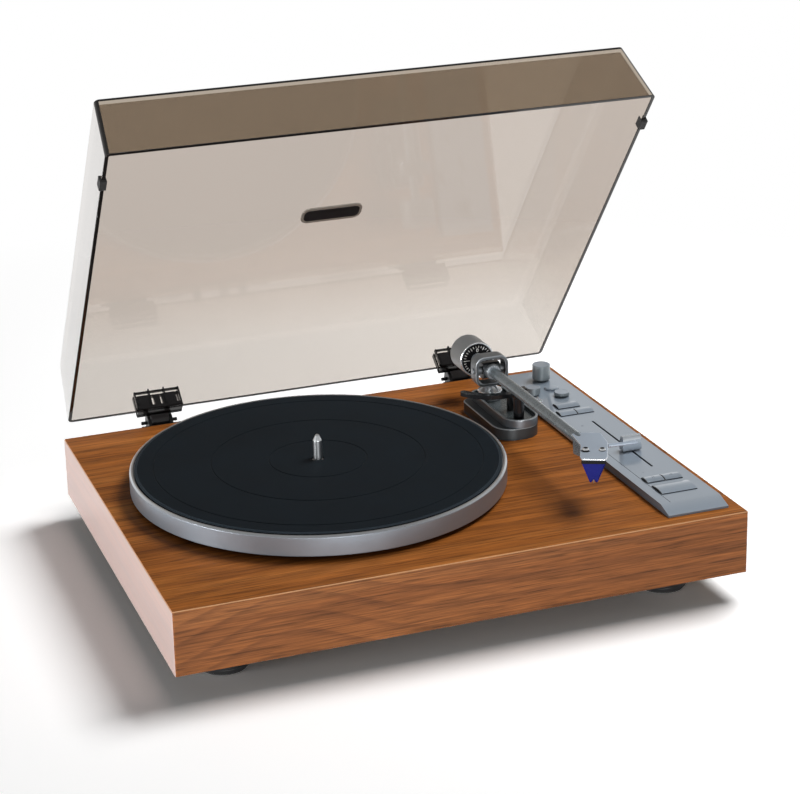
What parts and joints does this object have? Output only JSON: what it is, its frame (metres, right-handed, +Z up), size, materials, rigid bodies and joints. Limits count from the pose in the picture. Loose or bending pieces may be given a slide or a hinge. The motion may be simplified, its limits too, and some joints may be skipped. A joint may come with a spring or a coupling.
{
  "type": "turntable",
  "caption": "Belt-driven turntable with a walnut plinth, silver control panel, straight tonearm with offset headshell and a hinged smoked dust cover held open.",
  "frame": {"origin": "on the spindle's axis, in the plane of the mat's top", "axes": "+X to the right along the front, +Y to the back where the cover is hinged, +Z up along the spindle"},
  "size_m": [0.452, 0.4111, 0.3963],
  "materials": {
    "walnut": "walnut veneer, satin lacquer",
    "platter_metal": "turned, satin, with a polished bevel",
    "silver_paint": "satin silver grey",
    "dark_metal": "satin dark grey",
    "arm_metal": "bead blasted, satin",
    "bright_metal": "polished",
    "steel": "plain steel",
    "brass": "turned",
    "mat_rubber": "ribbed, matt",
    "black_rubber": "matt",
    "black_plastic": "moulded, lightly glossy",
    "silver_plastic": "satin silver",
    "blue_plastic": "moulded",
    "smoked_acrylic": "clear, smoked brown, polished edges",
    "circuit_board": "lacquered board",
    "fibreboard": "raw hardboard"
  },
  "bodies": {
    "plinth": {"cabinet": "walnut", "base_cover": "fibreboard", "feet": "black_plastic", "foot_pads": "black_rubber", "bearing_housing": "brass", "motor": "steel", "drive_belt": "black_rubber", "main_board": "circuit_board", "rear_plate": "dark_metal", "signal_jacks": "bright_metal", "ground_post": "bright_metal", "power_inlet": "black_plastic", "control_panel": "silver_paint", "control_board": "circuit_board", "pitch_fader": "steel", "arm_base_lower": "dark_metal", "arm_base_upper": "dark_metal", "arm_pillar": "dark_metal", "pillar_nut": "steel", "rest_post": "black_plastic", "hinge_brackets": "black_plastic", "hinge_pins": "steel", "small_screws": "steel", "wood_screws": "steel"},
    "platter": {"platter": "platter_metal", "mat": "mat_rubber", "spindle": "bright_metal"},
    "rotor": {"motor_shaft": "steel", "motor_pulley": "brass"},
    "arm_yoke": {"neck_shaft": "bright_metal", "gimbal_frame": "silver_paint", "gimbal_screws": "bright_metal"},
    "arm": {"pivot_block": "arm_metal", "arm_tube": "arm_metal", "rear_shaft": "steel", "headshell": "arm_metal", "finger_lift": "bright_metal", "cartridge": "black_plastic", "cartridge_screws": "steel", "stylus": "blue_plastic"},
    "weight": {"counterweight": "arm_metal"},
    "dial": {"tracking_dial": "black_plastic"},
    "lift": {"lift_platform": "black_plastic"},
    "clip": {"rest_clip": "silver_plastic"},
    "cover": {"dust_cover": "smoked_acrylic", "cover_badge": "black_plastic", "cover_stops": "black_rubber", "hinge_sockets": "black_plastic"},
    "tall_knob": {"tall_knob": "silver_plastic"},
    "short_knob": {"short_knob": "silver_plastic"},
    "anti_skate_knob": {"anti_skate_knob": "silver_plastic"},
    "pitch_slider": {"pitch_slider": "silver_plastic"},
    "disc_button": {"disc_button": "bright_metal"},
    "single_key": {"single_key": "silver_plastic"},
    "cue_key_left": {"cue_key_left": "silver_plastic"},
    "cue_key_right": {"cue_key_right": "silver_plastic"},
    "speed_key_left": {"speed_key_left": "silver_plastic"},
    "speed_key_right": {"speed_key_right": "silver_plastic"},
    "start_key": {"start_key": "silver_plastic"}
  },
  "joints": [
    {"name": "platter_spin", "type": "hinge", "parent": "plinth", "child": "platter", "pos_m": [0, 0, 0], "axis": [0, 0, 1], "continuous": true},
    {"name": "rotor_spin", "type": "hinge", "parent": "plinth", "child": "rotor", "pos_m": [-0.0792, 0.0792, -0.0203], "axis": [0, 0, 1], "continuous": true},
    {"name": "arm_swing", "type": "hinge", "parent": "plinth", "child": "arm_yoke", "pos_m": [0.18516, 0.08752, 0.0197], "axis": [0, 0, -1], "range_deg": [0, 48]},
    {"name": "arm_tilt", "type": "hinge", "parent": "arm_yoke", "child": "arm", "pos_m": [0.18516, 0.08752, 0.0197], "axis": [0.9999, -0.014, 0], "range_deg": [-10, 0]},
    {"name": "weight_turn", "type": "hinge", "parent": "arm", "child": "weight", "pos_m": [0.18555, 0.11552, 0.01936], "axis": [-0.014, -0.9998, 0.0122], "continuous": true},
    {"name": "dial_turn", "type": "hinge", "parent": "weight", "child": "dial", "pos_m": [0.18555, 0.11552, 0.01936], "axis": [-0.014, -0.9998, 0.0122], "continuous": true},
    {"name": "lift_slide", "type": "slide", "parent": "plinth", "child": "lift", "axis": [0, 0, 1], "range_m": [0, 0.005]},
    {"name": "clip_hinge", "type": "hinge", "parent": "plinth", "child": "clip", "pos_m": [0.19183, 0.0286, 0.01782], "axis": [-0.014, -0.9998, 0.0122], "range_deg": [0, 175]},
    {"name": "cover_hinge", "type": "hinge", "parent": "plinth", "child": "cover", "pos_m": [0.0563, 0.1868, -0.0217], "axis": [1, 0, 0], "range_deg": [0, 52.5]},
    {"name": "pitch_slide", "type": "slide", "parent": "plinth", "child": "pitch_slider", "axis": [0, 1, 0], "range_m": [-0.0345, 0.067]},
    {"name": "tall_knob_turn", "type": "hinge", "parent": "plinth", "child": "tall_knob", "pos_m": [0.2529, 0.131, -0.0143], "axis": [0, 0, 1], "range_deg": [-135, 135]},
    {"name": "short_knob_turn", "type": "hinge", "parent": "plinth", "child": "short_knob", "pos_m": [0.2526, 0.0872, -0.0143], "axis": [0, 0, 1], "range_deg": [-135, 135]},
    {"name": "anti_skate_turn", "type": "hinge", "parent": "plinth", "child": "anti_skate_knob", "pos_m": [0.2309, 0.0995, -0.0143], "axis": [0, 0, 1], "range_deg": [-135, 135]},
    {"name": "single_key_press", "type": "slide", "parent": "plinth", "child": "single_key", "axis": [0, 0, -1], "range_m": [0, 0.0012], "stiffness_N_per_m": 400, "springref_m": -0.0015},
    {"name": "cue_key_left_press", "type": "slide", "parent": "plinth", "child": "cue_key_left", "axis": [0, 0, -1], "range_m": [0, 0.0012], "stiffness_N_per_m": 400, "springref_m": -0.0015},
    {"name": "cue_key_right_press", "type": "slide", "parent": "plinth", "child": "cue_key_right", "axis": [0, 0, -1], "range_m": [0, 0.0012], "stiffness_N_per_m": 400, "springref_m": -0.0015},
    {"name": "speed_key_left_press", "type": "slide", "parent": "plinth", "child": "speed_key_left", "axis": [0, 0, -1], "range_m": [0, 0.0012], "stiffness_N_per_m": 400, "springref_m": -0.0015},
    {"name": "speed_key_right_press", "type": "slide", "parent": "plinth", "child": "speed_key_right", "axis": [0, 0, -1], "range_m": [0, 0.0012], "stiffness_N_per_m": 400, "springref_m": -0.0015},
    {"name": "start_key_press", "type": "slide", "parent": "plinth", "child": "start_key", "axis": [0, 0, -1], "range_m": [0, 0.0012], "stiffness_N_per_m": 400, "springref_m": -0.0015},
    {"name": "disc_button_press", "type": "slide", "parent": "plinth", "child": "disc_button", "axis": [0, 0, -1], "range_m": [0, 0.0012], "stiffness_N_per_m": 400, "springref_m": -0.0015}
  ],
  "couplings": [
    {"joint": "rotor_spin", "follows": "platter_spin", "ratio": 9.7701}
  ]
}
